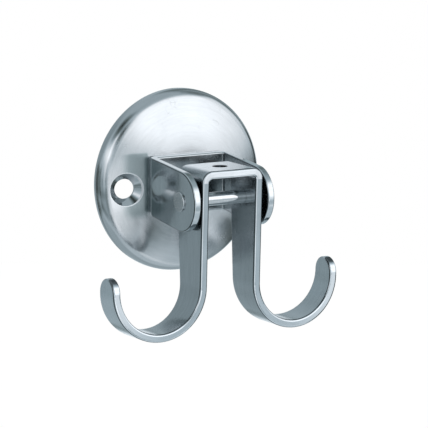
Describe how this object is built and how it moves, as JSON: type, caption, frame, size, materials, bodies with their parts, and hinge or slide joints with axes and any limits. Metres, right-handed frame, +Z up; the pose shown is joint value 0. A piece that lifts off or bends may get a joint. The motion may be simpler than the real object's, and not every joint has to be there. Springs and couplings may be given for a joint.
{
  "type": "wall hook",
  "caption": "Wall hook with a dished round base, a clevis bracket and a bent flat steel double hook that swings on a pin.",
  "frame": {"origin": "centre of the base disc's back, on the wall plane", "axes": "+Y into the wall, -Y out towards the room, +Z up, +X to the right as seen from the room"},
  "size_m": [0.0826, 0.0392, 0.076],
  "materials": {
    "disc_steel": "satin stainless steel, finely polished in rings",
    "bracket_steel": "polished stainless steel with fine lines",
    "rivet_steel": "plain stainless steel",
    "pin_steel": "bright polished stainless steel",
    "hook_steel": "polished stainless steel with fine lines along the strap"
  },
  "bodies": {
    "base": {"base_disc": "disc_steel", "pivot_bracket": "bracket_steel", "bracket_rivets": "rivet_steel", "pivot_pin": "pin_steel"},
    "hook": {"double_hook": "hook_steel"}
  },
  "joints": [
    {"name": "hook_swing", "type": "hinge", "parent": "base", "child": "hook", "pos_m": [0, -0.0295, -0.0023], "axis": [-1, 0, 0], "range_deg": [-34, 210]}
  ]
}
